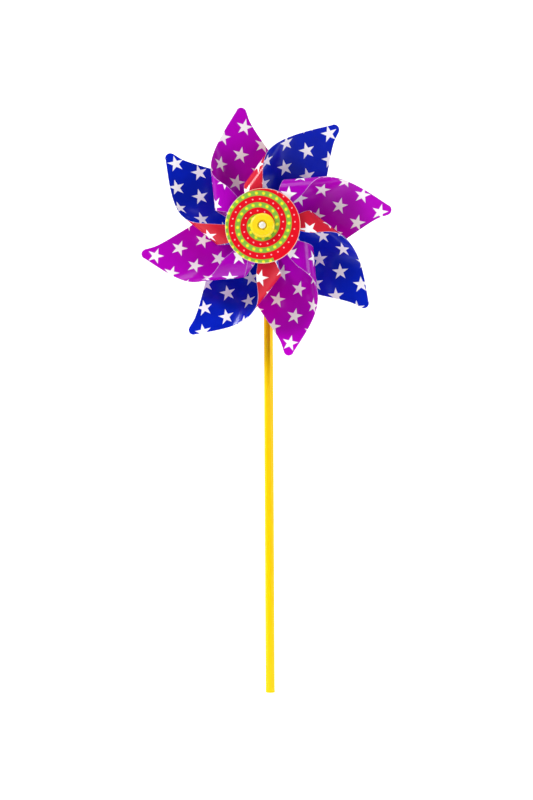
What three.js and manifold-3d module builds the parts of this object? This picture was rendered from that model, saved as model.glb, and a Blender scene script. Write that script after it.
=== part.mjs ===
// A toy pinwheel: two die-cut plastic film sheets, each cut into four arms whose loose corners curl
// forward to the front of the hub, spinning on a pin that a plastic tube stick holds.
// Millimetres, +Z up, the rotor faces -Y. The origin is the centre of the stick's lower end.
import * as THREE from 'three';
import { mergeVertices } from 'three/addons/utils/BufferGeometryUtils.js';
import Module from 'manifold-3d';

const { smoothstep, degToRad, lerp } = THREE.MathUtils;

// ---- driving dimensions -------------------------------------------------------------------
const HUB_HEIGHT = 396;            // the axle above the stick's lower end
const STICK_DIAMETER = 8;
const STICK_WALL = 0.8;
const STICK_ABOVE_AXLE = 9;
const AXLE_DIAMETER = 2.8;
const FIT_GAP = 0.3;               // between pieces that touch
const RUNNING_GAP = 0.4;           // round the axle and between the still and the spinning pieces

const FILM = 0.25;                 // film thickness
const FILM_STEP = 0.55;            // from one layer of film to the next, where they are stacked
const SHEET_STEP = 0.8;            // from the rear sheet to the one in front of it
const REAR_SHEET = 11.8;           // how far in front of the stick's axis the rear sheet lies
const FRONT_STACK = 41.3;          // from the rear sheet to the middle of the stacked flaps

const TIP_REACH = 108.7;           // hub axis to a blade's tip
const TIP_RADIUS = 4.6;
const CUT_SIDE = 110.4;            // where the blank's straight side would meet the tip's centre line
const CUT_SLOPE = 0.97;            // the straight side's rise across the blade for 1 along it
const BLADE_PITCH = degToRad(10);  // how steeply a blade leaves the plane of the hub
const CURL_START = 11.5;           // across the blade, where the film starts to curl forward
const LEAF_RADIUS = 27.4;          // of the curl's rear part, up to the blade's outermost line
const FLAP_RADIUS = 12;            // of its front part, round to the flap
const BELLY_END = 60;              // along the blade: nearer the hub than this its curl is fuller
const TIP_FORWARD = 14;            // how far a tip leans in front of the rear sheet
const LEAN_START = 20;             // along the blade, where that lean starts
const LEAN_EASE = 0.25;            // how softly it starts
const STRAIGHT_FROM = 30;          // a blade points as its tip does from this far out
const STACK_BLEND = 10;            // across the blade, over which a flap reaches its place in the stack

const HUB_DISC = 9.5;              // the flat centre of a sheet, which the necks leave
const NECK_LOW = degToRad(-6.5);   // the two sides of the neck that joins a blade to the centre
const NECK_HIGH = degToRad(34.5);
const RELIEF_OUTER = 17;           // outer radius of the openings between the necks
const SLIT_ANGLE = degToRad(-31);  // where a slit runs into its relief opening
const FLAP_HOLE_RADIUS = 1.9;
const FLAP_LOBE = 7;               // radius of the round end of a flap, about its hole
const FLAP_HOLE_ALONG = 12;        // the hole's place along the flat blade; it folds onto the axle

// The edge that a slit leaves on a blade's clockwise side: distance along the blade, then across.
const SLIT_EDGE = [
  [RELIEF_OUTER * Math.cos(SLIT_ANGLE), RELIEF_OUTER * Math.sin(SLIT_ANGLE)],
  [22, -13.4], [30, -18.8], [40, -23], [49, -24], [57, -21.6], [67, -17.3], [77, -13], [87, -8.8],
  [96, -5.7], [TIP_REACH - TIP_RADIUS, -TIP_RADIUS],
];
const SLIT_TURN = 48;              // along the blade, where that edge is furthest out

// Directions of the blades' tips, anticlockwise from +X as seen from the front.
const BLUE_TIPS = [55.5, 141.8, 233.4, 323];
const PURPLE_TIPS = [9, 101.3, 190, 280.7];
const BLUE_BELLY = 2;              // how much fuller a curl is next to the hub
const PURPLE_BELLY = 6;
// Across each blade, where its flap starts to be drawn along the blade towards the axle.
const BLUE_DRAWN = [46, 46, 68.6, 68.6];
const PURPLE_DRAWN = [68.6, 68.6, 68.6, 68.6];

const DISC_DIAMETER = 63;
const DISC_THICKNESS = 0.8;
const CAP_DIAMETER = 20.4;

// ---- small helpers ------------------------------------------------------------------------
const wasm = await Module();
wasm.setup();
const group = new THREE.Group();

function material(colour, roughness, metalness = 0) {
  return new THREE.MeshStandardMaterial({ color: colour, roughness, metalness });
}

const white = material(0xf2f0ea, 0.35);
const yellow = material(0xf6cf10, 0.3);
const blueFilm = material(0x0a1fc0, 0.25);
const purpleFilm = material(0xa000ac, 0.25);
const printedCard = material(0xe6202c, 0.35);

function add(name, geometry, finish) {
  const mesh = new THREE.Mesh(geometry, finish);
  mesh.name = name;
  group.add(mesh);
  return mesh;
}

function toSolid(geometry) {
  const bare = geometry.clone();
  for (const extra of ['normal', 'uv']) bare.deleteAttribute(extra);
  const merged = mergeVertices(bare, 1e-4);
  const vertProperties = new Float32Array(merged.attributes.position.array);
  const triVerts = new Uint32Array(merged.index.array);
  return new wasm.Manifold(new wasm.Mesh({ numProp: 3, vertProperties, triVerts }));
}

function toGeometry(solid) {
  const { vertProperties, triVerts } = solid.getMesh();
  const geometry = new THREE.BufferGeometry();
  geometry.setAttribute('position', new THREE.BufferAttribute(vertProperties, 3));
  geometry.setIndex(new THREE.BufferAttribute(triVerts, 1));
  return geometry;
}

// A piece turned about the rotor's axis. Its profile is [radius, distance in front of the stick's
// axis], from the rear to the front along its outside.
function turned(profile, segments) {
  const points = profile.map(([radius, forward]) => new THREE.Vector2(radius, forward));
  const geometry = new THREE.LatheGeometry(points, segments);
  return geometry.rotateX(Math.PI).translate(0, 0, HUB_HEIGHT);
}

function ring(bore, outer, rear, front, segments) {
  return turned([[bore, rear], [outer, rear], [outer, front], [bore, front], [bore, rear]], segments);
}

// ---- film blades --------------------------------------------------------------------------
const QUARTER = Math.PI / 2;
const OUTERMOST = CURL_START + LEAF_RADIUS * (QUARTER - BLADE_PITCH);  // across the flat film
const CURL_END = OUTERMOST + FLAP_RADIUS * QUARTER;
const CURL_CENTRE = {              // of the curl's rear part: across and forward
  across: CURL_START * Math.cos(BLADE_PITCH) - LEAF_RADIUS * Math.sin(BLADE_PITCH),
  forward: CURL_START * Math.sin(BLADE_PITCH) + LEAF_RADIUS * Math.cos(BLADE_PITCH),
};
const FLAP_ACROSS = CURL_CENTRE.across + LEAF_RADIUS - FLAP_RADIUS;
const FLAP_FORWARD = CURL_CENTRE.forward + FLAP_RADIUS;
const FLAP_HOLE_ACROSS = CURL_END + FLAP_ACROSS;
const LOBE_START = FLAP_HOLE_ACROSS - FLAP_LOBE * 0.7;      // across, where the round end begins

// The film's section square to the blade: out across it, round the curl and back to the axis.
function section(across) {
  if (across < CURL_START) {
    return [across * Math.cos(BLADE_PITCH), across * Math.sin(BLADE_PITCH)];
  }
  if (across < OUTERMOST) {
    const heading = BLADE_PITCH + (across - CURL_START) / LEAF_RADIUS;
    return [
      CURL_CENTRE.across + LEAF_RADIUS * Math.sin(heading),
      CURL_CENTRE.forward - LEAF_RADIUS * Math.cos(heading),
    ];
  }
  if (across > CURL_END) return [FLAP_HOLE_ACROSS - across, FLAP_FORWARD];
  const past = (across - OUTERMOST) / FLAP_RADIUS;
  return [
    FLAP_ACROSS + FLAP_RADIUS * Math.cos(past),
    CURL_CENTRE.forward + FLAP_RADIUS * Math.sin(past),
  ];
}

// Where a point of the flat film goes. A blade has its tip's direction, the same direction in the
// flat sheet, its sheet's distance in front of the rear sheet, its flap's place in the stack, and
// the place across it from which its flap is drawn along it onto the axle.
function fold(blade, along, across) {
  const reach = Math.hypot(along, across);
  const bent = smoothstep(reach, HUB_DISC, RELIEF_OUTER - 1);
  const [curlAcross, curlForward] = section(across);
  const lift = Math.max(along - LEAN_START, 0) / (TIP_REACH - LEAN_START);
  const lean = TIP_FORWARD * (1 + LEAN_EASE) * lift * lift / (lift + LEAN_EASE);
  const stacked = smoothstep(across, CURL_END, CURL_END + STACK_BLEND);
  const flapHeight = blade.flap - blade.sheet - FLAP_FORWARD;
  const forward = blade.sheet + curlForward * bent
    + lean * (1 - smoothstep(across, CURL_START, OUTERMOST)) + flapHeight * stacked;
  const p = along - FLAP_HOLE_ALONG * smoothstep(across, blade.drawnFrom, LOBE_START);
  const belly = blade.belly * Math.max(1 - along / BELLY_END, 0)
    * Math.sin(Math.PI * Math.min(Math.max(across / FLAP_HOLE_ACROSS, 0), 1)) ** 2;
  const q = lerp(across, curlAcross + belly, bent);
  const turn = lerp(blade.flatDirection, blade.direction, smoothstep(reach, HUB_DISC, STRAIGHT_FROM));
  return new THREE.Vector3(
    p * Math.cos(turn) - q * Math.sin(turn),
    -(REAR_SHEET + forward),
    HUB_HEIGHT + p * Math.sin(turn) + q * Math.cos(turn),
  );
}

function slitAcross(along) {
  const last = SLIT_EDGE.length - 1;
  const slope = (i) => {
    const [before, after] = [SLIT_EDGE[Math.max(i - 1, 0)], SLIT_EDGE[Math.min(i + 1, last)]];
    return (after[1] - before[1]) / (after[0] - before[0]);
  };
  let i = 0;
  while (i < last - 1 && along > SLIT_EDGE[i + 1][0]) i += 1;
  const [[x0, y0], [x1, y1]] = [SLIT_EDGE[i], SLIT_EDGE[i + 1]];
  const width = x1 - x0;
  const t = (along - x0) / width;
  return y0 * (1 + 2 * t) * (1 - t) ** 2 + slope(i) * width * t * (1 - t) ** 2
    + y1 * t * t * (3 - 2 * t) + slope(i + 1) * width * t * t * (t - 1);
}

// The place along the blade where the slit's edge is this far across, between two given places.
function slitAlong(across, low, high) {
  const rising = slitAcross(high) > slitAcross(low);
  for (let step = 0; step < 40; step += 1) {
    const middle = (low + high) / 2;
    if ((slitAcross(middle) < across) === rising) low = middle;
    else high = middle;
  }
  return (low + high) / 2;
}

const chord = (radius, across) => Math.sqrt(Math.max(radius * radius - across * across, 0));

// The blade's inner and outer edges, as distances along it, at a place across it.
function innerEdge(across) {
  const lobe = chord(FLAP_LOBE, across - FLAP_HOLE_ACROSS);
  if (across < RELIEF_OUTER * Math.sin(SLIT_ANGLE)) return slitAlong(across, SLIT_EDGE[0][0], SLIT_TURN);
  if (across < RELIEF_OUTER * Math.sin(NECK_LOW)) return chord(RELIEF_OUTER, across);
  if (across < HUB_DISC * Math.sin(NECK_LOW)) return across / Math.tan(NECK_LOW);
  if (across <= HUB_DISC * Math.sin(NECK_HIGH)) return chord(HUB_DISC, across);
  if (across < RELIEF_OUTER * Math.sin(NECK_HIGH)) return across / Math.tan(NECK_HIGH);
  if (across < RELIEF_OUTER * Math.cos(SLIT_ANGLE)) return chord(RELIEF_OUTER, across);
  return across < LOBE_START ? -slitAcross(across) : FLAP_HOLE_ALONG - lobe;
}

function outerEdge(across) {
  const tipCentre = TIP_REACH - TIP_RADIUS;
  if (across < -TIP_RADIUS) return slitAlong(across, SLIT_TURN, tipCentre);
  const straight = CUT_SIDE - across / CUT_SLOPE;
  return across < TIP_RADIUS * Math.SQRT1_2 ? tipCentre + chord(TIP_RADIUS, across) : straight;
}

// Places across the blade where the mesh has a row of points.
function rows() {
  const spread = (from, to, count) => (
    Array.from({ length: count }, (_, i) => lerp(from, to, i / count))
  );
  const widest = slitAcross(SLIT_TURN);
  const low = RELIEF_OUTER * Math.sin(SLIT_ANGLE);
  const neck = [HUB_DISC * Math.sin(NECK_LOW), HUB_DISC * Math.sin(NECK_HIGH)];
  const tip = TIP_RADIUS * Math.SQRT1_2;
  return [
    widest + 0.05, widest + 1, ...spread(widest + 3, low, 3), low, -TIP_RADIUS, -TIP_RADIUS * 0.8,
    RELIEF_OUTER * Math.sin(NECK_LOW), neck[0], 1.2, tip, neck[1],
    RELIEF_OUTER * Math.sin(NECK_HIGH), 12, RELIEF_OUTER * Math.cos(SLIT_ANGLE), 18.5,
    ...spread(22, OUTERMOST, 7), ...spread(OUTERMOST, CURL_END, 8),
    ...spread(CURL_END, LOBE_START, 4), LOBE_START,
  ];
}

const POINTS_ALONG = 5;            // points on each row of a blade
const hole = (radius, count, x = 0, y = 0) => Array.from({ length: count }, (_, i) => {
  const angle = (-2 * Math.PI * i) / count;
  return new THREE.Vector2(x + radius * Math.cos(angle), y + radius * Math.sin(angle));
});

// One sheet: the flat centre and four blades, meshed flat, then folded and given its thickness.
function sheet(tips, flatTip, sheetForward, belly, drawn, flapForward) {
  const points = [];                // each a blade and its flat place on that blade
  const faces = [];
  const centre = [];                // the outline of the flat centre
  const place = (blade, along, across) => points.push({ blade, along, across }) - 1;
  const addPatch = (outline, innerHole, blade) => {
    const flat = outline.map((i) => new THREE.Vector2(points[i].x, points[i].y));
    const indices = [...outline, ...innerHole.map(({ x, y }) => place(blade, x, y))];
    for (const corners of THREE.ShapeUtils.triangulateShape(flat, [innerHole])) {
      faces.push(corners.map((corner) => indices[corner]));
    }
  };
  tips.forEach((tip, number) => {
    const flatDirection = flatTip + number * Math.PI / 2;
    const blade = {
      direction: degToRad(tip), flatDirection, sheet: sheetForward, flap: flapForward(number), belly,
      drawnFrom: drawn[number],
    };
    let before = null;
    for (const across of rows()) {
      const row = [];
      for (let i = 0; i < POINTS_ALONG; i += 1) {
        const along = lerp(innerEdge(across), outerEdge(across), i / (POINTS_ALONG - 1));
        row.push(place(blade, along, across));
      }
      if (across >= HUB_DISC * Math.sin(NECK_LOW) && across <= HUB_DISC * Math.sin(NECK_HIGH)) {
        centre.push([flatDirection, row[0]]);
      }
      if (before) {
        for (let i = 0; i < POINTS_ALONG - 1; i += 1) {
          faces.push([before[i], before[i + 1], row[i + 1]], [before[i], row[i + 1], row[i]]);
        }
      }
      before = row;
    }
    // The flap's round end, with the hole that goes on the axle.
    const end = [...before];
    const LOBE_POINTS = 10;
    const startAngle = Math.asin((LOBE_START - FLAP_HOLE_ACROSS) / FLAP_LOBE);
    for (let i = 1; i < LOBE_POINTS; i += 1) {
      const angle = lerp(startAngle, Math.PI - startAngle, i / LOBE_POINTS);
      end.push(place(blade, FLAP_HOLE_ALONG + FLAP_LOBE * Math.cos(angle),
        FLAP_HOLE_ACROSS + FLAP_LOBE * Math.sin(angle)));
    }
    for (const i of end) [points[i].x, points[i].y] = [points[i].along, points[i].across];
    addPatch(end, hole(FLAP_HOLE_RADIUS, 12, FLAP_HOLE_ALONG, FLAP_HOLE_ACROSS), blade);
    // The inner side of the relief opening that follows this blade's neck.
    const ARC_POINTS = 4;
    for (let i = 1; i < ARC_POINTS; i += 1) {
      const angle = lerp(NECK_HIGH, NECK_LOW + Math.PI / 2, i / ARC_POINTS);
      const along = HUB_DISC * Math.cos(angle);
      centre.push([flatDirection, place(blade, along, HUB_DISC * Math.sin(angle))]);
    }
  });
  const hub = {
    direction: 0, flatDirection: 0, sheet: sheetForward, flap: sheetForward, belly, drawnFrom: CURL_END,
  };
  for (const [direction, i] of centre) {
    const { along, across } = points[i];
    points[i].x = along * Math.cos(direction) - across * Math.sin(direction);
    points[i].y = along * Math.sin(direction) + across * Math.cos(direction);
  }
  addPatch(centre.map(([, i]) => i), hole(FLAP_HOLE_RADIUS, 12), hub);
  return thicken(points, faces);
}

// Offsets the folded film to both sides and closes it along every cut edge.
function thicken(points, faces) {
  const STEP = 0.05;
  const positions = [];
  const normals = points.map(({ blade, along, across }) => {
    const alongSlope = fold(blade, along + STEP, across).sub(fold(blade, along - STEP, across));
    const acrossSlope = fold(blade, along, across + STEP).sub(fold(blade, along, across - STEP));
    return alongSlope.cross(acrossSlope).normalize();
  });
  for (const side of [FILM / 2, -FILM / 2]) {
    points.forEach(({ blade, along, across }, i) => {
      positions.push(...fold(blade, along, across).addScaledVector(normals[i], side).toArray());
    });
  }
  const back = points.length;
  const index = [];
  const edges = new Map();
  for (const [a, b, c] of faces) {
    index.push(a, b, c, back + a, back + c, back + b);
    for (const [from, to] of [[a, b], [b, c], [c, a]]) edges.set(`${from} ${to}`, [from, to]);
  }
  for (const [from, to] of edges.values()) {
    if (edges.has(`${to} ${from}`)) continue;
    index.push(from, back + from, to, to, back + from, back + to);
  }
  const geometry = new THREE.BufferGeometry();
  geometry.setAttribute('position', new THREE.Float32BufferAttribute(positions, 3));
  geometry.setIndex(index);
  return geometry;
}

// ---- the stick and the pieces that stand still with it ----------------------------------------
const stickRadius = STICK_DIAMETER / 2;
const axleRadius = AXLE_DIAMETER / 2;
const stickLength = HUB_HEIGHT + STICK_ABOVE_AXLE;

function stick() {
  const tube = (radius, length, middle) => {
    const geometry = new THREE.CylinderGeometry(radius, radius, length, 32);
    return toSolid(geometry.rotateX(Math.PI / 2).translate(0, 0, middle));
  };
  const crossHole = new THREE.CylinderGeometry(
    axleRadius + FIT_GAP, axleRadius + FIT_GAP, STICK_DIAMETER * 2, 20,
  ).translate(0, 0, HUB_HEIGHT);
  const outside = tube(stickRadius, stickLength, stickLength / 2);
  const inside = tube(stickRadius - STICK_WALL, stickLength + 2, stickLength / 2);
  return toGeometry(outside.subtract(inside).subtract(toSolid(crossHole)));
}

const SPACER_REAR = stickRadius + FIT_GAP;
const WASHER_FRONT = REAR_SHEET - FILM / 2 - FIT_GAP;
const WASHER_REAR = WASHER_FRONT - 1;
const SPOOL_REAR = REAR_SHEET + SHEET_STEP + FILM / 2 + FIT_GAP;
const STACK_HALF = 3.5 * FILM_STEP;                    // eight flaps, half of them each way
const SPOOL_FRONT = REAR_SHEET + FRONT_STACK - STACK_HALF - FILM / 2 - FIT_GAP;
const DISC_REAR = REAR_SHEET + FRONT_STACK + STACK_HALF + FILM / 2 + FIT_GAP;
const DISC_FRONT = DISC_REAR + DISC_THICKNESS;
const CAP_REAR = DISC_FRONT + FIT_GAP;
const CAP_FACE = CAP_REAR + 3.4;                       // the raised front face of the cap
const CAP_FLOOR = CAP_FACE - 1.2;                      // the floor of its centre recess
const HEAD_RADIUS = 2.8;
const HEAD_REAR = CAP_FLOOR + RUNNING_GAP;
const HEAD_HEIGHT = 1.9;
const HEAD_RIM = 0.5;                                  // the straight side under the head's dome
const AXLE_REAR = -(stickRadius + 5);

function dome(radius, from, height, steps) {
  return Array.from({ length: steps + 1 }, (_, i) => {
    const angle = QUARTER * (i / steps);
    return [i === steps ? 0 : radius * Math.cos(angle), from + height * Math.sin(angle)];
  });
}

const axle = [
  [0, AXLE_REAR], [axleRadius - 0.4, AXLE_REAR], [axleRadius, AXLE_REAR + 0.4],
  [axleRadius, HEAD_REAR], [HEAD_RADIUS, HEAD_REAR],
  ...dome(HEAD_RADIUS, HEAD_REAR + HEAD_RIM, HEAD_HEIGHT - HEAD_RIM, 4),
];

const RETAINER_RADIUS = 4;
const retainer = [
  [axleRadius + FIT_GAP, -(stickRadius + 4)], [RETAINER_RADIUS - 1, -(stickRadius + 4)],
  [RETAINER_RADIUS, -(stickRadius + 3)], [RETAINER_RADIUS, -(stickRadius + FIT_GAP)],
  [axleRadius + FIT_GAP, -(stickRadius + FIT_GAP)], [axleRadius + FIT_GAP, -(stickRadius + 4)],
];

add('stick', stick(), yellow);
add('axle', turned(axle, 20), white);
add('axle_retainer', turned(retainer, 20), white);
add('rear_spacer', ring(axleRadius + FIT_GAP, 3, SPACER_REAR, WASHER_REAR - RUNNING_GAP, 20), white);

// ---- the rotor ------------------------------------------------------------------------------
const runningBore = axleRadius + RUNNING_GAP;
const SPOOL_RADIUS = 3.2;
const SPOOL_FLANGE = 7;
const spool = [
  [runningBore, SPOOL_REAR], [SPOOL_FLANGE, SPOOL_REAR], [SPOOL_FLANGE, SPOOL_REAR + 1],
  [SPOOL_RADIUS, SPOOL_REAR + 1.6], [SPOOL_RADIUS, SPOOL_FRONT - 1.6],
  [SPOOL_FLANGE, SPOOL_FRONT - 1], [SPOOL_FLANGE, SPOOL_FRONT], [runningBore, SPOOL_FRONT],
  [runningBore, SPOOL_REAR],
];
const capRadius = CAP_DIAMETER / 2;
const cap = [
  [runningBore, CAP_REAR], [capRadius, CAP_REAR], [capRadius, CAP_FACE - 1.6],
  [capRadius - 0.5, CAP_FACE - 0.7], [capRadius - 1.4, CAP_FACE - 0.15], [capRadius - 2.4, CAP_FACE],
  [4.4, CAP_FACE], [3.7, CAP_FLOOR], [runningBore, CAP_FLOOR], [runningBore, CAP_REAR],
];

// Going round the hub the flaps are stacked in turn, a blue one and then a purple one.
const inStack = (turn) => FRONT_STACK + (turn - 3.5) * FILM_STEP;
const BLUE_FLAT = degToRad(54);
const PURPLE_FLAT = BLUE_FLAT - Math.PI / 4;

add('rear_washer', ring(runningBore, HUB_DISC - 0.5, WASHER_REAR, WASHER_FRONT, 32), white);
const blueFlap = (number) => inStack(2 * number + 1);
const purpleFlap = (number) => inStack(2 * number);
const blueSheet = sheet(BLUE_TIPS, BLUE_FLAT, 0, BLUE_BELLY, BLUE_DRAWN, blueFlap);
const purpleSheet = sheet(PURPLE_TIPS, PURPLE_FLAT, SHEET_STEP, PURPLE_BELLY, PURPLE_DRAWN, purpleFlap);
add('blue_sheet', blueSheet, blueFilm);
add('purple_sheet', purpleSheet, purpleFilm);
add('hub_spool', turned(spool, 24), yellow);
add('spiral_disc', ring(runningBore, DISC_DIAMETER / 2, DISC_REAR, DISC_FRONT, 64), printedCard);
add('centre_cap', turned(cap, 40), yellow);

export default group;
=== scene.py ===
"""Looks of a toy pinwheel round its CAD frame: two star-printed film sheets, a disc with a spiral
print, a moulded cap and spool, and a glossy tube stick.

Lengths are in mm here and in metres in Blender. Forward is towards the viewer, which is -Y."""
import math

import bpy
import numpy as np
from mathutils import Matrix, Vector
from mathutils.geometry import delaunay_2d_cdt


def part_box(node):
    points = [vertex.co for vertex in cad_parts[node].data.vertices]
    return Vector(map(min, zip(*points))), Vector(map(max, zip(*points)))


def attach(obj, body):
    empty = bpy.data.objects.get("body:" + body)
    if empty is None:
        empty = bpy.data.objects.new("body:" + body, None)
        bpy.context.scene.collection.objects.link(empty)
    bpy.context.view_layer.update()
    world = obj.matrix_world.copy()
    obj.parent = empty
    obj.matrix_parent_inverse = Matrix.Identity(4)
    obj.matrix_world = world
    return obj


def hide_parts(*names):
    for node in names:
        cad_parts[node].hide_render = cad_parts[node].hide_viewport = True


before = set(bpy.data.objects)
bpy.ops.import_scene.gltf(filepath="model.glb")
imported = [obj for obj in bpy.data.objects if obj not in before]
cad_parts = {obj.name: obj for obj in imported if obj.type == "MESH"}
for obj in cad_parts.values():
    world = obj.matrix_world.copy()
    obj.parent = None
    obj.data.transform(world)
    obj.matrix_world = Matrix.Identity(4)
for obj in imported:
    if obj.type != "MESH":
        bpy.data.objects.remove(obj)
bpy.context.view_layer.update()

MM = 0.001
FIT = 0.3                                            # gap that touching CAD pieces keep


def span(node):
    """A CAD node's rear and front distances in front of the stick's axis, in mm."""
    low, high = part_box(node)
    return -high[1] / MM, -low[1] / MM


def outer(node):
    """A round CAD node's outer radius, in mm."""
    low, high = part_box(node)
    return (high[0] - low[0]) / 2 / MM


disc_low, disc_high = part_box("spiral_disc")
HUB = (disc_low[2] + disc_high[2]) / 2 / MM          # height of the rotor's axis

# ---- the folded film: the same blank and folds as the CAD sheets have ---------------------------
FILM = 0.25                                          # thickness
SHEET_STEP = 0.8                                     # from the rear sheet to the front one
FILM_STEP = 0.55                                     # from one stacked flap end to the next
MIDDLE_FLAP = 3.5                                    # middle of the eight, counted from 0
REAR_SHEET = span("rear_washer")[1] + FIT + FILM / 2
FRONT_STACK = span("hub_spool")[1] + FIT + FILM / 2 + MIDDLE_FLAP * FILM_STEP - REAR_SHEET
TIP_REACH, TIP_RADIUS = 108.7, 4.6
CUT_SIDE, CUT_SLOPE = 110.4, 0.97                    # the straight side beyond the tip
PITCH = math.radians(10)                             # how steeply an arm leaves the hub's plane
START, LEAF, FLAP = 11.5, 27.4, 12.0                 # where the curl starts, and its two radii
BELLY_END = 60.0                                     # nearer the hub than this the curl is fuller
TIP_FORWARD, LEAN_START, LEAN_EASE = 14.0, 20.0, 0.25
STRAIGHT_FROM = 30.0                                 # an arm points as its tip does from here out
STACK_BLEND = 10.0                                   # over which a flap reaches its stack's place
HUB_DISC, RELIEF = 9.5, 17.0                         # flat centre, openings between the necks
NECK_BENT = RELIEF - 1                               # a neck is bent as its arm is from here out
NECK_LOW, NECK_HIGH = math.radians(-6.5), math.radians(34.5)
SLIT_ANGLE = math.radians(-31)                       # where a slit runs into its opening
HOLE, LOBE, HOLE_ALONG = 1.9, 7.0, 12.0              # flap's hole and round end, hole's place
BACK_FROM = 80.5                                     # across, where a flap's slit side starts
SLIT = np.array([                                    # the cut between two arms: along, across
    [RELIEF * math.cos(SLIT_ANGLE), RELIEF * math.sin(SLIT_ANGLE)],
    [22, -13.4], [30, -18.8], [40, -23], [49, -24], [57, -21.6], [67, -17.3], [77, -13], [87, -8.8],
    [96, -5.7], [TIP_REACH - TIP_RADIUS, -TIP_RADIUS],
])
# Each sheet: where its tips and its flat blank point (degrees), how far in front it lies, how much
# fuller its curl is at the hub, its first flap's place, and where its flaps are drawn along from.
BLUE = dict(tips=(55.5, 141.8, 233.4, 323.0), flat=54.0, sheet=0.0, belly=2.0, first_flap=1,
            drawn=(46, 46, 68.6, 68.6))
PURPLE = dict(tips=(9.0, 101.3, 190.0, 280.7), flat=9.0, sheet=SHEET_STEP, belly=6.0, first_flap=0,
              drawn=(68.6, 68.6, 68.6, 68.6))

OUTERMOST = START + LEAF * (math.pi / 2 - PITCH)     # across the flat film
CURL_END = OUTERMOST + FLAP * math.pi / 2
CENTRE_ACROSS = START * math.cos(PITCH) - LEAF * math.sin(PITCH)
CENTRE_FORWARD = START * math.sin(PITCH) + LEAF * math.cos(PITCH)
FLAP_ACROSS = CENTRE_ACROSS + LEAF - FLAP
FLAP_FORWARD = CENTRE_FORWARD + FLAP
HOLE_ACROSS = CURL_END + FLAP_ACROSS
LOBE_START = HOLE_ACROSS - LOBE * 0.7

# Print of the film: rows of stars, half a step apart in turn.
STAR_PITCH, STAR_ROW = 23.7, 17.5
STAR_RADIUS, STAR_INNER = 7.2, 0.385                 # inner corners' share of the radius
STAR_TURN = math.radians(-3.4)                       # of a star's point from its row
STAR_SOFT = 0.12                                     # half the width of its printed edge
PRINT_SCALE = 0.01                                   # UV units in a mm
PRINT_BLEND = 14, 30                                 # from the hub's rows to an arm's own
# The rows' angle on each arm, and one star's place (along, across) on its leaf and on its flap.
BLUE_PRINT = dict(
    angle=(33.5, 38, 33.5, 24),
    leaf=((77, 10), (64.2, 10.6), (61.6, 4), (71.8, 10.2)),
    flap=((21, 64.3), (34, 55.5), (36.5, 67.3), (33, 70.3)))
PURPLE_PRINT = dict(
    angle=(78.5, 78.5, 74, 78.5),
    leaf=((65.8, 11.4), (69.7, 8.2), (65.3, 17.8), (76, 10.5)),
    flap=((25.5, 70), (26.8, 55.8), (24.5, 71), (28.8, 73.5)))


def rotated(points, turn):
    """Flat points turned about the axle."""
    c, s = math.cos(turn), math.sin(turn)
    return points @ np.array([[c, s], [-s, c]])


def step(x, low, high):
    """A smooth rise from 0 at low to 1 at high."""
    t = np.clip((x - low) / (high - low), 0, 1)
    return t * t * (3 - 2 * t)


def section(u):
    """The film's section square to an arm: how far across and how far forward."""
    heading = PITCH + (u - START) / LEAF
    past = (u - OUTERMOST) / FLAP
    across = np.where(u < START, u * np.cos(PITCH),
             np.where(u < OUTERMOST, CENTRE_ACROSS + LEAF * np.sin(heading),
             np.where(u < CURL_END, FLAP_ACROSS + FLAP * np.cos(past), HOLE_ACROSS - u)))
    forward = np.where(u < START, u * np.sin(PITCH),
              np.where(u < OUTERMOST, CENTRE_FORWARD - LEAF * np.cos(heading),
              np.where(u < CURL_END, CENTRE_FORWARD + FLAP * np.sin(past), FLAP_FORWARD)))
    return across, forward


def fold(arm, p, u):
    """Where a point of the flat film goes: p along its arm and u across it."""
    reach = np.hypot(p, u)
    bent = step(reach, HUB_DISC, NECK_BENT)
    curl_across, curl_forward = section(u)
    lift = np.maximum(p - LEAN_START, 0) / (TIP_REACH - LEAN_START)
    lean = TIP_FORWARD * (1 + LEAN_EASE) * lift * lift / (lift + LEAN_EASE)
    stacked = step(u, CURL_END, CURL_END + STACK_BLEND)
    forward = (arm["sheet"] + curl_forward * bent + lean * (1 - step(u, START, OUTERMOST))
               + (arm["flap"] - arm["sheet"] - FLAP_FORWARD) * stacked)
    along = p - HOLE_ALONG * step(u, arm["drawn"], LOBE_START)
    belly = (arm["belly"] * np.maximum(1 - p / BELLY_END, 0)
             * np.sin(np.pi * np.clip(u / HOLE_ACROSS, 0, 1)) ** 2)
    q = u + (curl_across + belly - u) * bent
    turn = arm["flat"] + (arm["tip"] - arm["flat"]) * step(reach, HUB_DISC, STRAIGHT_FROM)
    c, s = np.cos(turn), np.sin(turn)
    return np.stack([along * c - q * s, -(REAR_SHEET + forward), HUB + along * s + q * c], -1)


def fold_normal(arm, p, u):
    """The folded film's direction square to its surface, from places a little to each side."""
    h = 0.05
    slope_p = fold(arm, p + h, u) - fold(arm, p - h, u)
    slope_u = fold(arm, p, u + h) - fold(arm, p, u - h)
    n = np.cross(slope_p, slope_u)
    return n / np.linalg.norm(n, axis=1)[:, None]


def slit_across(p):
    """The edge that a slit leaves on an arm: cubic pieces through SLIT's points."""
    x, y = SLIT[:, 0], SLIT[:, 1]
    low, high = np.maximum(np.arange(len(x)) - 1, 0), np.minimum(np.arange(len(x)) + 1, len(x) - 1)
    slope = (y[high] - y[low]) / (x[high] - x[low])
    i = np.clip(np.searchsorted(x, p) - 1, 0, len(x) - 2)
    w = x[i + 1] - x[i]
    t = (p - x[i]) / w
    return (y[i] * (1 + 2 * t) * (1 - t) ** 2 + slope[i] * w * t * (1 - t) ** 2
            + y[i + 1] * t * t * (3 - 2 * t) + slope[i + 1] * w * t * t * (t - 1))


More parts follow.
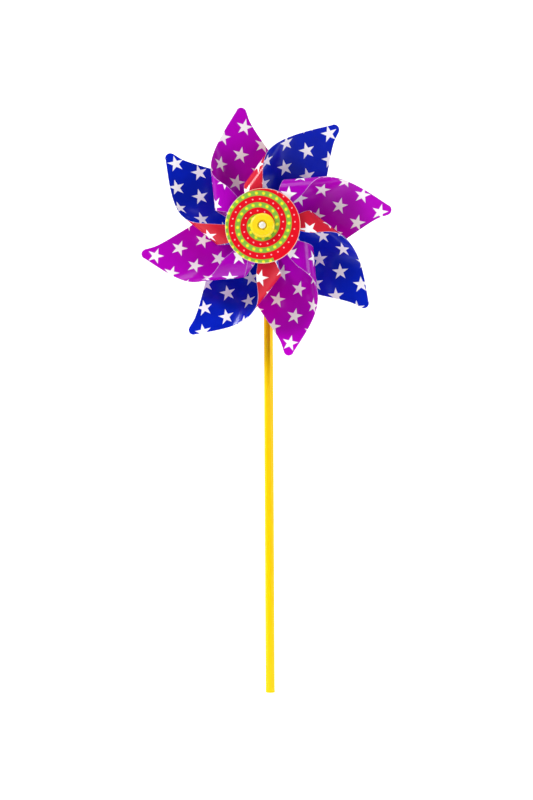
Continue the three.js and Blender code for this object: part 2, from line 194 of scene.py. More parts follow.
def arc(cx, cy, radius, first, last, count):
    """Points of a circle's arc, both ends included."""
    a = np.linspace(first, last, count)
    return np.stack([cx + radius * np.cos(a), cy + radius * np.sin(a)], 1)


EDGE_SPACING, NECK_SPACING = 1.0, 0.8                # of the points on cut edges


def hub_arc(first, last):
    """Points of the hub disc's rim, the same for the disc and for the necks that leave it."""
    count = max(2, round(abs(last - first) * HUB_DISC / NECK_SPACING) + 1)
    return arc(0, 0, HUB_DISC, first, last, count)


def evenly(points, spacing):
    """The line through points, with a point every spacing mm or so. Its ends stay."""
    length = np.concatenate([[0], np.cumsum(np.linalg.norm(np.diff(points, axis=0), axis=1))])
    at = np.linspace(0, length[-1], max(2, round(length[-1] / spacing) + 1))
    return np.stack([np.interp(at, length, points[:, i]) for i in (0, 1)], 1)


def arm_outline():
    """One flat arm's edge, anticlockwise, from its slit's inner end."""
    p = np.linspace(SLIT[0, 0], SLIT[-1, 0], 400)
    slit = np.stack([p, slit_across(p)], 1)
    tip = arc(SLIT[-1, 0], 0, TIP_RADIUS, -math.pi / 2, math.pi / 4, 40)
    shoulder = np.array([CUT_SIDE - LOBE_START / CUT_SLOPE, LOBE_START])
    gap = 0.25                                       # clear of the tip's last point
    side = np.stack([np.linspace(CUT_SIDE - tip[-1, 1] / CUT_SLOPE - gap, shoulder[0], 60),
                     np.linspace(tip[-1, 1] + gap, shoulder[1], 60)], 1)
    start = math.asin((LOBE_START - HOLE_ACROSS) / LOBE)
    lobe = arc(HOLE_ALONG, HOLE_ACROSS, LOBE, start + 0.3, math.pi - start, 40)
    back_u = np.linspace(BACK_FROM, SLIT[0, 0], 200)
    back = np.stack([-slit_across(back_u), back_u], 1)
    high = np.array([math.cos(NECK_HIGH), math.sin(NECK_HIGH)])
    low = np.array([math.cos(NECK_LOW), math.sin(NECK_LOW)])
    runs = [
        evenly(np.concatenate([slit, tip, side, lobe, back]), EDGE_SPACING),
        evenly(arc(0, 0, RELIEF, math.pi / 2 + SLIT_ANGLE, NECK_HIGH, 20), NECK_SPACING),
        evenly(np.stack([high * RELIEF, high * HUB_DISC]), NECK_SPACING),
        hub_arc(NECK_HIGH, NECK_LOW),
        evenly(np.stack([low * HUB_DISC, low * RELIEF]), NECK_SPACING),
        evenly(arc(0, 0, RELIEF, NECK_LOW, SLIT_ANGLE, 20), NECK_SPACING),
    ]
    return np.concatenate([run[:-1] for run in runs])


def hub_outline():
    """The flat centre's rim: where a neck leaves it, then the free edge up to the next one."""
    quarter = np.concatenate([hub_arc(NECK_LOW, NECK_HIGH)[:-1],
                              hub_arc(NECK_HIGH, NECK_LOW + math.pi / 2)[:-1]])
    return np.concatenate([rotated(quarter, k * math.pi / 2) for k in range(4)])


def inside(points, loop):
    """Which points lie inside a closed loop."""
    x, y = points[:, 0][:, None], points[:, 1][:, None]
    x0, y0 = loop[:, 0], loop[:, 1]
    x1, y1 = np.roll(x0, -1), np.roll(y0, -1)
    crosses = (y0 > y) != (y1 > y)
    with np.errstate(divide="ignore", invalid="ignore"):
        at = x0 + (y - y0) / (y1 - y0) * (x1 - x0)
    return (np.sum(crosses & (x < at), axis=1) % 2) == 1


def edge_distance(points, loops):
    """How far each point is from the nearest of some closed loops."""
    best = np.full(len(points), 1e9)
    for loop in loops:
        a, b = loop, np.roll(loop, -1, axis=0)
        d = b - a
        rel = points[:, None, :] - a[None]
        t = np.clip(np.sum(rel * d, -1) / np.sum(d * d, -1), 0, 1)
        best = np.minimum(best, np.linalg.norm(rel - t[..., None] * d, axis=-1).min(1))
    return best


PALE_RIM_WIDTH = 0.45                                    # width of the pale strip along a cut edge, partly an unprinted margin and partly a painted highlight
TOUCHING = 1e-3


def flat_mesh(outline, hole, spacing):
    """Triangles of a flat outline with one round hole: (points, faces, distance to the edge)."""
    loops = [outline, hole]
    strips = []
    for loop, sign in ((outline, 1), (hole, -1)):
        d = np.roll(loop, -1, axis=0) - np.roll(loop, 1, axis=0)
        d /= np.linalg.norm(d, axis=1)[:, None]
        strips.append(loop + sign * PALE_RIM_WIDTH * np.stack([-d[:, 1], d[:, 0]], 1))
    low, high = outline.min(0), outline.max(0)
    grid = np.stack(np.meshgrid(np.arange(low[0] + 0.37, high[0], spacing),
                                np.arange(low[1] + 0.41, high[1], spacing)), -1).reshape(-1, 2)

    def clear(points, least):
        far = edge_distance(points, loops)
        return points[(far > least) & inside(points, outline) & ~inside(points, hole)]

    strip = clear(np.concatenate(strips), PALE_RIM_WIDTH * 0.92)
    grid = clear(grid, PALE_RIM_WIDTH + 0.4 * spacing)
    points = np.concatenate([outline, hole, strip, grid])
    edges, base = [], 0
    for loop in loops:
        edges += [(base + i, base + (i + 1) % len(loop)) for i in range(len(loop))]
        base += len(loop)
    made, _, faces, *_ = delaunay_2d_cdt([Vector(p) for p in points], edges, [], 0, 1e-5)
    made = np.array([(v.x, v.y) for v in made])
    faces = np.array([f for f in faces if len(f) == 3])
    a, b, c = (made[faces[:, i]] for i in range(3))
    area = (b[:, 0] - a[:, 0]) * (c[:, 1] - a[:, 1]) - (b[:, 1] - a[:, 1]) * (c[:, 0] - a[:, 0])
    faces[area < 0] = faces[area < 0][:, ::-1]
    middle = (a + b + c) / 3
    keep = inside(middle, outline) & ~inside(middle, hole) & (np.abs(area) > 1e-7)
    return made, faces[keep], edge_distance(made, loops)


HOLE_POINTS = 40
hole_edge = arc(0, 0, HOLE, 0, 2 * math.pi, HOLE_POINTS + 1)[:-1]
flap_hole_edge = arc(HOLE_ALONG, HOLE_ACROSS, HOLE, 0, 2 * math.pi, HOLE_POINTS + 1)[:-1]
ARM = flat_mesh(arm_outline(), flap_hole_edge, 1.25)
CENTRE = flat_mesh(hub_outline(), hole_edge, 1.1)


def print_place(flat, angle, anchor=(0, 0)):
    """Flat points' places on the print: along and across its rows, with a star on the anchor."""
    cell = np.array([STAR_PITCH, 2 * STAR_ROW])
    shifts = [rotated(np.array(anchor), -angle) + half * cell / 2 for half in (0, 1)]
    shifts = [v - np.round(v / cell) * cell for v in shifts]
    return rotated(flat, -angle) - min(shifts, key=lambda v: np.hypot(*v))


def print_places(flat, reach, stars, k, turn):
    """Places on the front's print and on the back's, which leave the hub's rows for arm k's."""
    weight = 0 if k is None else step(reach, *PRINT_BLEND)[:, None]
    places = []
    for side in ("leaf", "flap"):
        anchor = rotated(np.array(stars[side][k or 0], float), turn)
        at_hub = print_place(flat, math.radians(stars["angle"][0]))
        on_arm = print_place(flat, math.radians(stars["angle"][k or 0]), anchor)
        places.append(at_hub + (on_arm - at_hub) * weight)
    return places


def film_sheet(name, design, stars, materials):
    """A folded sheet: the flat centre and four arms, with its thickness, prints and pale cut edges,
    which are partly an unprinted margin and partly painted highlight.
    """
    position, normal, place_front, place_back, rim_margin_and_sheen, faces = [], [], [], [], [], []
    welded = {}                                      # rim points of the centre, for the necks

    for k in (None, 0, 1, 2, 3):                     # the centre, then the arms
        points, triangles, edge = CENTRE if k is None else ARM
        n = k or 0
        turn = math.radians(design["flat"]) + n * math.pi / 2
        arm = dict(flat=turn, tip=math.radians(design["tips"][n]), sheet=design["sheet"],
                   belly=design["belly"], drawn=design["drawn"][n],
                   flap=FRONT_STACK + (2 * n + design["first_flap"] - MIDDLE_FLAP) * FILM_STEP)
        flat = rotated(points, turn)
        reach = np.hypot(*points.T)
        pos = fold(arm, points[:, 0], points[:, 1])
        nor = fold_normal(arm, points[:, 0], points[:, 1])
        if k is None:
            nor[:] = (0, -1, 0)
        front, back = print_places(flat, reach, stars, k, turn)
        index = np.zeros(len(points), int)
        for i, (x, y) in enumerate(flat):
            on_rim = abs(reach[i] - HUB_DISC) < TOUCHING
            if on_rim and (round(x, 3), round(y, 3)) in welded:
                index[i] = welded[round(x, 3), round(y, 3)]
                continue
            index[i] = len(position)
            if on_rim:
                for dx in (-0.001, 0, 0.001):
                    for dy in (-0.001, 0, 0.001):
                        welded[round(round(x, 3) + dx, 3), round(round(y, 3) + dy, 3)] = index[i]
            position.append(pos[i])
            normal.append(nor[i])
            place_front.append(front[i])
            place_back.append(back[i])
            on_neck = reach[i] < HUB_DISC + TOUCHING
            # Points on a cut edge get the pale rim: partly an unprinted margin, partly a painted
            # highlight on the edge.
            rim_margin_and_sheen.append(1.0 if edge[i] < TOUCHING and not on_neck else 0.0)
        faces.append(index[triangles])

    position, normal = np.array(position), np.array(normal)
    faces = np.concatenate(faces)
    count = len(position)
    sides = dict.fromkeys(e for a, b, c in faces for e in ((a, b), (b, c), (c, a)))
    walls = [(a, count + a, count + b, b) for a, b in sides if (b, a) not in sides]
    vertices = np.concatenate([position + normal * FILM / 2, position - normal * FILM / 2]) * MM
    everything = faces.tolist() + (count + faces[:, ::-1]).tolist() + walls
    mesh = bpy.data.meshes.new(name)
    mesh.from_pydata(vertices.tolist(), [], everything)
    slots = np.array([0] * len(faces) + [1] * len(faces) + [2] * len(walls), np.int32)
    mesh.polygons.foreach_set("material_index", slots)
    print_layer(mesh, np.concatenate([place_front, place_back]))
    # The pale rim's strength on the front and the back: partly an unprinted margin, partly painted
    # highlight.
    rim_attribute = mesh.attributes.new("edge_margin_and_sheen", "FLOAT", "POINT")
    rim_attribute.data.foreach_set("value", np.tile(np.array(rim_margin_and_sheen, np.float32), 2))
    return finish_mesh(name, mesh, materials, 50)


def print_layer(mesh, places):
    """A UV layer from each vertex's place on the print, in mm."""
    vertex = np.zeros(len(mesh.loops), np.int32)
    mesh.loops.foreach_get("vertex_index", vertex)
    uv = (places * PRINT_SCALE)[vertex].astype(np.float32)
    mesh.uv_layers.new(name="Print").data.foreach_set("uv", uv.ravel())


def finish_mesh(name, mesh, materials, sharp):
    """A smooth-shaded object of a mesh, with edges over so many degrees kept sharp."""
    for item in materials:
        mesh.materials.append(item)
    mesh.polygons.foreach_set("use_smooth", [True] * len(mesh.polygons))
    mesh.update()
    mesh.validate()
    mesh.set_sharp_from_angle(angle=math.radians(sharp))
    piece = bpy.data.objects.new(name, mesh)
    bpy.context.scene.collection.objects.link(piece)
    return piece


# ---- turned and moulded pieces ------------------------------------------------------------------
def rounded(profile, steps=5):
    """A closed profile of (radius, distance, fillet) as points with its corners rounded off."""
    out = []
    for i, (r, f, fillet) in enumerate(profile):
        here = np.array([r, f], float)
        before = np.array(profile[i - 1][:2], float) - here
        after = np.array(profile[(i + 1) % len(profile)][:2], float) - here
        if fillet == 0:
            out.append(here)
            continue
        la, lb = np.linalg.norm(before), np.linalg.norm(after)
        ua, ub = before / la, after / lb
        half = math.acos(np.clip(ua @ ub, -1, 1)) / 2
        cut = min(fillet / math.tan(half), la * 0.48, lb * 0.48)
        radius = cut * math.tan(half)
        hold = min(radius * 0.35, la * 0.02, lb * 0.02)      # keeps the flats' shading flat
        centre = here + (ua + ub) / np.linalg.norm(ua + ub) * radius / math.sin(half)
        first, last = here + ua * cut, here + ub * cut
        va, vb = first - centre, last - centre
        sweep = math.acos(np.clip(va @ vb / (np.linalg.norm(va) * np.linalg.norm(vb)), -1, 1))
        out.append(first + ua * hold)
        for j in range(steps + 1):
            t = j / steps
            spoke = np.sin((1 - t) * sweep) * va + np.sin(t * sweep) * vb
            out.append(centre + spoke / math.sin(sweep))
        out.append(last + ub * hold)
    return np.array(out)


def lathe(name, points, materials, segments=128, upright=False, printed=False, sharp=40):
    """A turned piece on the rotor's axis (or upright on the stick's) from a closed profile, which
    runs along its rear, its outside, its front and its bore. A point on the axis is one vertex."""
    vertices, rings = [], []
    angles = np.arange(segments) * 2 * math.pi / segments
    for r, f in points:
        if r < 1e-6:
            rings.append([len(vertices)])
            vertices.append((0, 0, f))
            continue
        rings.append(list(range(len(vertices), len(vertices) + segments)))
        vertices += [(r * math.cos(a), r * math.sin(a), f) for a in angles]
    faces = []
    for i, ring in enumerate(rings):
        other = rings[(i + 1) % len(rings)]
        if len(ring) == 1 and len(other) == 1:
            continue
        for j in range(segments):
            n = (j + 1) % segments
            faces.append(list(dict.fromkeys([
                ring[j % len(ring)], ring[n % len(ring)],
                other[n % len(other)], other[j % len(other)]])))
    mesh = bpy.data.meshes.new(name)
    mesh.from_pydata(vertices, [], faces)
    if printed:
        print_layer(mesh, np.array(vertices)[:, :2])
    place = Matrix.Scale(MM, 4)
    if not upright:
        place = (Matrix.Translation((0, 0, HUB * MM)) @ Matrix.Rotation(math.pi / 2, 4, "X")
                 @ place)
    mesh.transform(place)
    return finish_mesh(name, mesh, materials, sharp)


# ---- materials ----------------------------------------------------------------------------------
def linear(r, g, b):
    """An sRGB colour of 0 to 255 as linear values."""
    return tuple(c / 255 / 12.92 if c <= 10 else ((c / 255 + 0.055) / 1.055) ** 2.4
                 for c in (r, g, b)) + (1,)


class Shader:
    """A Principled material and short ways to wire nodes into it."""

    def __init__(self, name):
        self.material = bpy.data.materials.new(name)
        self.material.use_nodes = True
        self.tree = self.material.node_tree
        self.surface = self.tree.nodes["Principled BSDF"]
        self.columns = 0

    def node(self, kind, **settings):
        made = self.tree.nodes.new(kind)
        self.columns += 1
        made.location = (-220 * (self.columns % 12) - 260, -180 * (self.columns // 12))
        for key, value in settings.items():
            setattr(made, key, value)
        return made

    def wire(self, value, socket):
        if isinstance(value, bpy.types.NodeSocket):
            self.tree.links.new(value, socket)
        elif value is not None:
            socket.default_value = value

    def math(self, operation, a, b=None, c=None, clamp=False):
        made = self.node("ShaderNodeMath", operation=operation, use_clamp=clamp)
        for value, socket in zip((a, b, c), made.inputs):
            self.wire(value, socket)
        return made.outputs[0]

    def length(self, x, y):
        squares = [self.math("MULTIPLY", value, value) for value in (x, y)]
        return self.math("SQRT", self.math("ADD", *squares))

    def mix(self, factor, a, b):
        made = self.node("ShaderNodeMix", data_type="RGBA")
        for value, name in ((factor, "Factor_Float"), (a, "A_Color"), (b, "B_Color")):
            self.wire(value, next(s for s in made.inputs if s.identifier == name))
        return next(s for s in made.outputs if s.identifier == "Result_Color")

    def ramp(self, value, low, high, to_low, to_high):
        """Straight from to_low at low to to_high at high, and level beyond them."""
        made = self.node("ShaderNodeMapRange", clamp=True)
        for v, socket in zip((value, low, high, to_low, to_high), made.inputs):
            self.wire(v, socket)
        return made.outputs[0]

    def noise(self, scale, detail=3.0, stretch=None, roughness=0.5):
        place = self.node("ShaderNodeTexCoord").outputs["Object"]
        if stretch is not None:
            mapping = self.node("ShaderNodeMapping")
            self.wire(place, mapping.inputs["Vector"])
            mapping.inputs["Scale"].default_value = stretch
            place = mapping.outputs[0]
        made = self.node("ShaderNodeTexNoise")
        self.wire(place, made.inputs["Vector"])
        made.inputs["Scale"].default_value = scale
        made.inputs["Detail"].default_value = detail
        made.inputs["Roughness"].default_value = roughness
        return made.outputs["Fac"]

    def bump(self, *layers):
        """Bumps one on another: each layer is a height and how high it is, in metres."""
        normal = None
        for height, distance in layers:
            made = self.node("ShaderNodeBump")
            made.inputs["Strength"].default_value = 1.0
            made.inputs["Distance"].default_value = distance
            self.wire(height, made.inputs["Height"])
            if normal is not None:
                self.wire(normal, made.inputs["Normal"])
            normal = made.outputs[0]
        self.wire(normal, self.surface.inputs["Normal"])

    def place(self):
        """The print's coordinates in mm."""
        uv = self.node("ShaderNodeUVMap", uv_map="Print").outputs[0]
        apart = self.node("ShaderNodeSeparateXYZ")
        self.wire(uv, apart.inputs[0])
        return [self.math("MULTIPLY", apart.outputs[i], 1 / PRINT_SCALE) for i in (0, 1)]

    def set(self, **values):
        """Values or links for the surface, with _ for a space in a socket's name."""
        for name, value in values.items():
            self.wire(value, self.surface.inputs[name.replace("_", " ")])


def star_mask(s, a, b, half):
    """1 inside the stars of one of the two crossed rows of cells."""
    def centred(value, size, offset):
        cells = s.math("ADD", s.math("DIVIDE", value, size), 0.5 + offset)
        return s.math("MULTIPLY", s.math("SUBTRACT", s.math("FRACT", cells), 0.5), size)

    x, y = centred(a, STAR_PITCH, half), centred(b, 2 * STAR_ROW, half)
    angle = s.math("SUBTRACT", s.math("ARCTAN2", y, x), STAR_TURN)
    point = 2 * math.pi / 5
    turned = s.math("FRACT", s.math("ADD", s.math("DIVIDE", angle, point), 10.5))
    off = s.math("ABSOLUTE", s.math("MULTIPLY", s.math("SUBTRACT", turned, 0.5), point))
    reach = s.length(x, y)
    along = s.math("MULTIPLY", reach, s.math("COSINE", off))
    out = s.math("MULTIPLY", reach, s.math("SINE", off))
    inner = STAR_RADIUS * STAR_INNER
    dx, dy = inner * math.cos(point / 2) - STAR_RADIUS, inner * math.sin(point / 2)
    length = math.hypot(dx, dy)
    side = s.math("ADD", s.math("MULTIPLY", s.math("SUBTRACT", along, STAR_RADIUS), dy / length),
                  s.math("MULTIPLY", out, -dx / length))
    return s.ramp(side, -STAR_SOFT, STAR_SOFT, 1.0, 0.0)


def film_material(name, colour, deep, star, seed, shine=0.18):
    """Glossy printed film: cloudy ink, stars, pale broken cut edges that are partly an unprinted
    margin and partly painted highlight, smudges and slow ripples.
    """
    s = Shader(name)
    a, b = s.place()
    stars = s.math("MAXIMUM", star_mask(s, a, b, 0.0), star_mask(s, a, b, 0.5))
    cloud = s.noise(26 + seed, 4.0)
    ink = s.mix(s.ramp(cloud, 0.38, 0.66, 0.0, 0.45), colour, deep)
    white = s.mix(s.ramp(cloud, 0.35, 0.7, 0.0, 0.6), star, linear(246, 240, 246))
    printed = s.mix(stars, ink, white)
    # A pale strip along the cut edges, broken up by noise: partly an unprinted margin, partly a
    # painted highlight where light catches the edge.
    rim_attribute = s.node("ShaderNodeAttribute", attribute_name="edge_margin_and_sheen").outputs["Fac"]
    rim_breakup = s.ramp(s.noise(900, 2.0), 0.3, 0.7, 0.35, 1.0)
    rim_margin_and_sheen = s.math("MULTIPLY", s.ramp(rim_attribute, 0.25, 0.8, 0.0, 0.8), rim_breakup)
    s.set(Base_Color=s.mix(rim_margin_and_sheen, printed, linear(226, 206, 228)))
    smudge = s.ramp(s.noise(60, 5.0), 0.35, 0.7, 0.0, 0.09)
    s.set(Roughness=s.math("ADD", s.math("MULTIPLY_ADD", stars, 0.05, 0.13), smudge),
          Specular_IOR_Level=shine)
    s.bump((s.noise(70, 2.0), 0.00012), (s.noise(900, 3.0), 0.000006))
    return s.material


def cut_edge(name, colour):
    """The raw cut edge of the film, paler than its faces."""
    s = Shader(name)
    whitened = s.ramp(s.noise(700), 0.3, 0.7, 0.0, 0.6)
    s.set(Base_Color=s.mix(whitened, colour, linear(236, 226, 236)),
          Roughness=s.ramp(s.noise(400), 0.3, 0.7, 0.35, 0.55))
    s.bump((s.noise(2500, 2.0), 0.00001))
    return s.material


def plastic(name, colour, deep, roughness, streaks=None, glow=0.0, shine=0.5):
    """Moulded or extruded plastic: cloudy colour, flow streaks, fine grain and light scuffs."""
    s = Shader(name)
    flow = s.noise(40, 3.0, streaks or (1, 1, 1))
    scuffs = s.ramp(s.noise(120, 5.0, streaks), 0.35, 0.7, 0.0, 0.12)
    s.set(Base_Color=s.mix(s.ramp(flow, 0.35, 0.68, 0.0, 0.7), colour, deep),
          Roughness=s.math("ADD", scuffs, roughness), Specular_IOR_Level=shine)
    if glow:
        s.set(Subsurface_Weight=glow, Subsurface_Scale=0.002)
        s.surface.inputs["Subsurface Radius"].default_value = (1.0, 0.45, 0.08)
    s.bump((s.noise(150, 2.0, streaks), 0.00006), (s.noise(1800, 3.0), 0.000008))
    return s.material


SPIRAL_PITCH, SPIRAL_START = 9.87, 26.4              # of the green band, and its radius at the top
SPIRAL_CENTRE = (-1.9, 1.0)
GREEN_HALF, GREEN_LAST = 2.2, 31.9                   # half its width, and where it ends at the rim
GREEN_SOFT = 0.15                                    # half the width of its printed edge
DOT_STEP = 6.0
GREEN_DOT, RED_DOT = (0.9, 1.7), (0.5, 0.75)         # radii of a dot's full and last colour
BARE_RIM = 30.95, 31.2                               # where the print fades into the disc's edge


def spiral_material(name):
    """The disc's printed face: a green spiral with yellow dots on red with pink dots."""
    s = Shader(name)
    across, up = s.place()
    x = s.math("SUBTRACT", across, SPIRAL_CENTRE[0])
    z = s.math("SUBTRACT", up, SPIRAL_CENTRE[1])
    radius = s.length(x, z)
    turns = s.math("DIVIDE", s.math("ARCTAN2", x, z), 2 * math.pi)

    def band(offset):
        """Distance to the nearest line of a spiral, that line's radius, and distance to a dot."""
        q = s.math("DIVIDE", s.math("SUBTRACT", SPIRAL_START, radius), SPIRAL_PITCH)
        q = s.math("ADD", s.math("SUBTRACT", q, turns), 10.5 + offset)
        away = s.math("MULTIPLY", s.math("SUBTRACT", s.math("FRACT", q), 0.5), SPIRAL_PITCH)
        line = s.math("ADD", radius, away)
        steps = s.math("MULTIPLY", s.math("MULTIPLY", line, line),
                       math.pi / SPIRAL_PITCH / DOT_STEP)
        beside = s.math("MULTIPLY", s.math("SUBTRACT", s.math("FRACT", steps), 0.5), DOT_STEP)
        return s.math("ABSOLUTE", away), line, s.length(away, beside)

    away, line, dot = band(0.0)
    shown = s.math("LESS_THAN", line, GREEN_LAST)
    band_edge = GREEN_HALF - GREEN_SOFT, GREEN_HALF + GREEN_SOFT
    green = s.math("MULTIPLY", s.ramp(away, *band_edge, 1.0, 0.0), shown)
    green_dot = s.math("MULTIPLY", s.ramp(dot, *GREEN_DOT, 1.0, 0.0), shown)
    red_dot = band(0.5)[2]
    cloud = s.ramp(s.noise(60, 4.0), 0.35, 0.7, 0.0, 0.5)
    red = s.mix(cloud, linear(226, 5, 31), linear(218, 4, 25))
    colour = s.mix(green, red, s.mix(cloud, linear(134, 186, 68), linear(120, 172, 58)))
    colour = s.mix(green_dot, colour, linear(238, 236, 40))
    colour = s.mix(s.ramp(red_dot, *RED_DOT, 0.9, 0.0), colour, linear(250, 190, 200))
    bare = s.ramp(s.length(across, up), *BARE_RIM, 0.0, 0.85)
    s.set(Base_Color=s.mix(bare, colour, linear(250, 214, 190)),
          Roughness=s.math("ADD", s.ramp(s.noise(90, 4.0), 0.35, 0.7, 0.0, 0.1), 0.3),
          Specular_IOR_Level=0.25)
    s.bump((s.noise(60, 2.0), 0.00008), (s.noise(1500, 3.0), 0.000006))
    return s.material


yellow = linear(248, 205, 2), linear(240, 190, 0)
stick_plastic = plastic("stick plastic", *yellow, 0.22, streaks=(5, 5, 0.06), glow=0.2, shine=0.15)
cap_plastic = plastic("cap plastic", linear(252, 222, 28), linear(248, 210, 12), 0.26, glow=0.2)
spool_plastic = plastic("spool plastic", *yellow, 0.3, glow=0.2)
white_plastic = plastic("white plastic", linear(240, 238, 232), linear(226, 224, 216), 0.28)
card_back = plastic("disc back", linear(236, 232, 226), linear(222, 216, 210), 0.4)

blue_front = film_material(
    "blue film", linear(0, 32, 192), linear(0, 14, 128), linear(255, 250, 255), 1, 0.28)
blue_back = film_material(
    "red film", linear(206, 34, 54), linear(188, 24, 42), linear(255, 250, 252), 2)
purple_front = film_material(
    "purple film", linear(184, 0, 194), linear(164, 0, 168), linear(255, 250, 255), 3)
purple_back = film_material(
    "purple film back", linear(164, 0, 176), linear(150, 0, 158), linear(250, 244, 250), 4)
blue_cut = cut_edge("blue film cut edge", linear(120, 120, 210))
purple_cut = cut_edge("purple film cut edge", linear(214, 130, 220))

# ---- the pieces: profiles are (radius, distance in front of the stick's axis, fillet) -----------
BORE = 1.8                                           # through everything that turns on the pin
AXLE_R, HEAD_R, HEAD_HEIGHT, HEAD_RIM = 1.4, 2.8, 1.9, 0.5
LOOSE = AXLE_R + FIT                                 # bore of what stands still round the pin

blue = film_sheet("film_blue", BLUE, BLUE_PRINT, [blue_front, blue_back, blue_cut])
purple = film_sheet("film_purple", PURPLE, PURPLE_PRINT, [purple_front, purple_back, purple_cut])

disc_rear, disc_front = span("spiral_disc")
disc_r = outer("spiral_disc")
disc = lathe("disc_printed", rounded([
    (BORE, disc_rear, 0.1), (disc_r, disc_rear, 0.2), (disc_r, disc_front, 0.3),
    (BORE, disc_front, 0.1)]), [spiral_material("spiral print")], 192, printed=True)
disc.data.materials.append(card_back)
for face in disc.data.polygons:
    if face.normal.y > 0.5:
        face.material_index = 1

cap_rear, cap_face = span("centre_cap")
cap_r = outer("centre_cap")
RECESS_R, RECESS_FLOOR_R, RECESS_DEPTH = 4.4, 3.7, 1.2
cap = lathe("cap_centre", rounded([
    (BORE, cap_rear, 0.1), (cap_r, cap_rear, 0.2), (cap_r, cap_face - 1.6, 0.8),
    (cap_r - 0.5, cap_face - 0.7, 0.9), (cap_r - 1.4, cap_face - 0.15, 1.2),
    (cap_r - 2.4, cap_face, 1.0), (RECESS_R, cap_face, 0.35),
    (RECESS_FLOOR_R, cap_face - RECESS_DEPTH, 0.2), (BORE, cap_face - RECESS_DEPTH, 0.1)], 4),
    [cap_plastic])

axle_rear, axle_front = span("axle")
head = axle_front - HEAD_HEIGHT
dome = [(HEAD_R * math.cos(t), head + HEAD_RIM + (HEAD_HEIGHT - HEAD_RIM) * math.sin(t), 0)
        for t in np.linspace(0, math.pi / 2, 12)[1:-1]] + [(0, axle_front, 0)]
axle = lathe("axle_pin", rounded([
    (0, axle_rear, 0), (AXLE_R, axle_rear, 0.4), (AXLE_R, head, 0.05), (HEAD_R, head, 0.2),
    (HEAD_R, head + HEAD_RIM, 0)] + dome), [white_plastic], 64)

ret_rear, ret_front = span("axle_retainer")
ret_r = outer("axle_retainer")
retainer = lathe("retainer_clip", rounded([
    (LOOSE, ret_rear, 0.15), (ret_r - 1, ret_rear, 0.4), (ret_r, ret_rear + 1, 0.4),
    (ret_r, ret_front, 0.2), (LOOSE, ret_front, 0.1)]), [white_plastic], 72)

spacer_rear, spacer_front = span("rear_spacer")
spacer_r = outer("rear_spacer")
spacer = lathe("spacer_sleeve", rounded([
    (LOOSE, spacer_rear, 0.1), (spacer_r, spacer_rear, 0.2), (spacer_r, spacer_front, 0.2),
    (LOOSE, spacer_front, 0.1)]), [white_plastic], 72)

washer_rear, washer_front = span("rear_washer")
washer_r = outer("rear_washer")
washer = lathe("washer_plate", rounded([
    (BORE, washer_rear, 0.1), (washer_r, washer_rear, 0.25), (washer_r, washer_front, 0.25),
    (BORE, washer_front, 0.1)]), [white_plastic])

spool_rear, spool_front = span("hub_spool")
flange_r, tube_r = outer("hub_spool"), 3.2
spool = lathe("spool_hub", rounded([
    (BORE, spool_rear, 0.1), (flange_r, spool_rear, 0.2), (flange_r, spool_rear + 1, 0.3),
    (tube_r, spool_rear + 1.6, 0.8), (tube_r, spool_front - 1.6, 0.8),
    (flange_r, spool_front - 1, 0.3), (flange_r, spool_front, 0.2), (BORE, spool_front, 0.1)]),
    [spool_plastic], 96)

stick_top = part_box("stick")[1][2] / MM
stick_r = outer("stick")
inner_r = stick_r - 0.8                              # the tube's wall
stick = lathe("stick_tube", rounded([
    (inner_r, 0, 0.15), (stick_r, 0, 0.25), (stick_r, stick_top, 0.25),
    (inner_r, stick_top, 0.15)]), [stick_plastic], 96, upright=True)
drill_profile = np.array([(0, -8), (LOOSE, -8), (LOOSE, 8), (0, 8)], float)
drill = lathe("cross_hole", drill_profile, [stick_plastic], 48)
cut = stick.modifiers.new("hole", "BOOLEAN")
cut.operation, cut.object, cut.solver = "DIFFERENCE", drill, "EXACT"
drilled = stick.evaluated_get(bpy.context.evaluated_depsgraph_get())
cut_mesh = bpy.data.meshes.new_from_object(drilled)
stick.modifiers.clear()
stick.data = cut_mesh
bpy.data.objects.remove(drill)

# ---- frame: what each piece rides on and stands for ---------------------------------------------
for piece, body, node, slot in (
    (stick, "stand", "stick", "stick_plastic"),
    (axle, "stand", "axle", "white_plastic"),
    (retainer, "stand", "axle_retainer", "white_plastic"),
    (spacer, "stand", "rear_spacer", "white_plastic"),
    (washer, "rotor", "rear_washer", "white_plastic"),
    (blue, "rotor", "blue_sheet", "blue_film"),
    (purple, "rotor", "purple_sheet", "purple_film"),
    (spool, "rotor", "hub_spool", "hub_plastic"),
    (disc, "rotor", "spiral_disc", "printed_disc"),
    (cap, "rotor", "centre_cap", "cap_plastic"),
):
    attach(piece, body)
    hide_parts(node)

# ---- the studio: metres from here on ------------------------------------------------------------
scene = bpy.context.scene
scene.view_settings.view_transform = "Standard"
scene.view_settings.look = "None"


FLOOR_HALF, FLOOR_BACK, BEND, WALL_TOP = 14.0, 0.9, 1.2, 6.0
GLOW_FROM, GLOW_FULL, GLOW = -0.9, -0.35, 0.62       # the floor in front of the object is dark


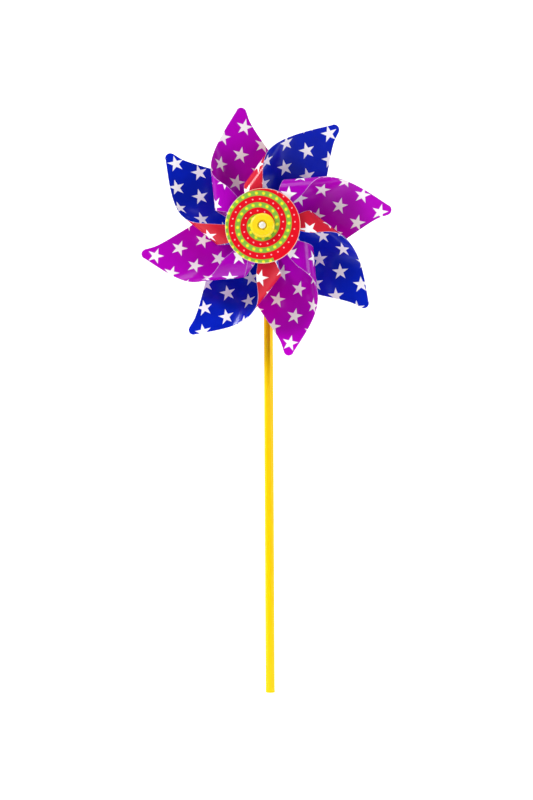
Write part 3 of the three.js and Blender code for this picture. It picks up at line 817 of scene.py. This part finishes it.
def sweep():
    """A floor that curves up into a backdrop behind the object, lit from itself."""
    profile = [(-FLOOR_HALF, 0.0), (FLOOR_BACK, 0.0)]
    profile += [(FLOOR_BACK + BEND * math.sin(t), BEND - BEND * math.cos(t))
                for t in np.linspace(0.1, math.pi / 2, 16)]
    profile.append((FLOOR_BACK + BEND, WALL_TOP))
    vertices = [(x, y, z) for y, z in profile for x in (-FLOOR_HALF, FLOOR_HALF)]
    faces = [(2 * i, 2 * i + 1, 2 * i + 3, 2 * i + 2) for i in range(len(profile) - 1)]
    mesh = bpy.data.meshes.new("studio_sweep")
    mesh.from_pydata(vertices, [], faces)
    s = Shader("studio white")
    where = s.node("ShaderNodeSeparateXYZ")
    s.wire(s.node("ShaderNodeTexCoord").outputs["Object"], where.inputs[0])
    lit = s.ramp(where.outputs[1], GLOW_FROM, GLOW_FULL, 0.0, 1.0)
    clouds = s.ramp(s.noise(3), 0.3, 0.7, 0.0, 1.0)
    paper = s.mix(clouds, linear(250, 250, 250), linear(246, 246, 246))
    s.set(Base_Color=s.mix(lit, linear(176, 176, 176), paper), Roughness=0.8,
          Specular_IOR_Level=0.1, Emission_Color=(1, 1, 1, 1),
          Emission_Strength=s.math("MULTIPLY", lit, GLOW))
    return finish_mesh("studio_sweep", mesh, [s.material], 180)


LIT_POINT = (0, -0.03, 0.39)                         # in front of the hub


def area_light(name, place, size, watts):
    """A soft light that looks at the hub."""
    data = bpy.data.lights.new(name, "AREA")
    data.shape, data.size, data.size_y, data.energy = "RECTANGLE", size[0], size[1], watts
    light = bpy.data.objects.new(name, data)
    scene.collection.objects.link(light)
    light.location = place
    light.rotation_mode = "QUATERNION"
    light.rotation_quaternion = (Vector(LIT_POINT) - Vector(place)).to_track_quat("-Z", "Y")


floor = sweep()
area_light("key", (-1.5, -0.9, 1.5), (0.6, 0.6), 35)
area_light("fill", (1.7, -0.75, 0.5), (0.8, 0.8), 13)
area_light("top", (0.0, -0.6, 1.9), (1.2, 0.8), 11)
world = bpy.data.worlds.new("studio air")
world.use_nodes = True
air = world.node_tree.nodes["Background"].inputs
air["Color"].default_value = (1, 1, 1, 1)
air["Strength"].default_value = 0.13
scene.world = world

# The camera is a little to the right of the object's front, and looks slightly up at it.
VIEW_AZIMUTH, VIEW_ELEVATION, VIEW_ROLL = (math.radians(a) for a in (4.54, -1.77, -0.29))
VIEW_DISTANCE = 1.25
VIEW_HEIGHT_MM, VIEW_FOCAL_MM = 36, 64.73            # of the sensor, and of the lens
target = Vector((-0.00196, 0, 0.25245))
toward = Vector((math.sin(VIEW_AZIMUTH) * math.cos(VIEW_ELEVATION),
                 -math.cos(VIEW_AZIMUTH) * math.cos(VIEW_ELEVATION), math.sin(VIEW_ELEVATION)))
right = Vector((math.cos(VIEW_AZIMUTH), math.sin(VIEW_AZIMUTH), 0))
up = toward.cross(right)
c, s = math.cos(VIEW_ROLL), math.sin(VIEW_ROLL)
right, up = right * c + up * s, up * c - right * s
lens = bpy.data.cameras.new("camera")
lens.sensor_fit = "VERTICAL"
lens.sensor_height = lens.sensor_width = VIEW_HEIGHT_MM
lens.lens = VIEW_FOCAL_MM
camera = bpy.data.objects.new("camera", lens)
scene.collection.objects.link(camera)
camera.matrix_world = Matrix.Translation(target + toward * VIEW_DISTANCE) @ Matrix(
    (right, up, toward)).transposed().to_4x4()
scene.camera = camera
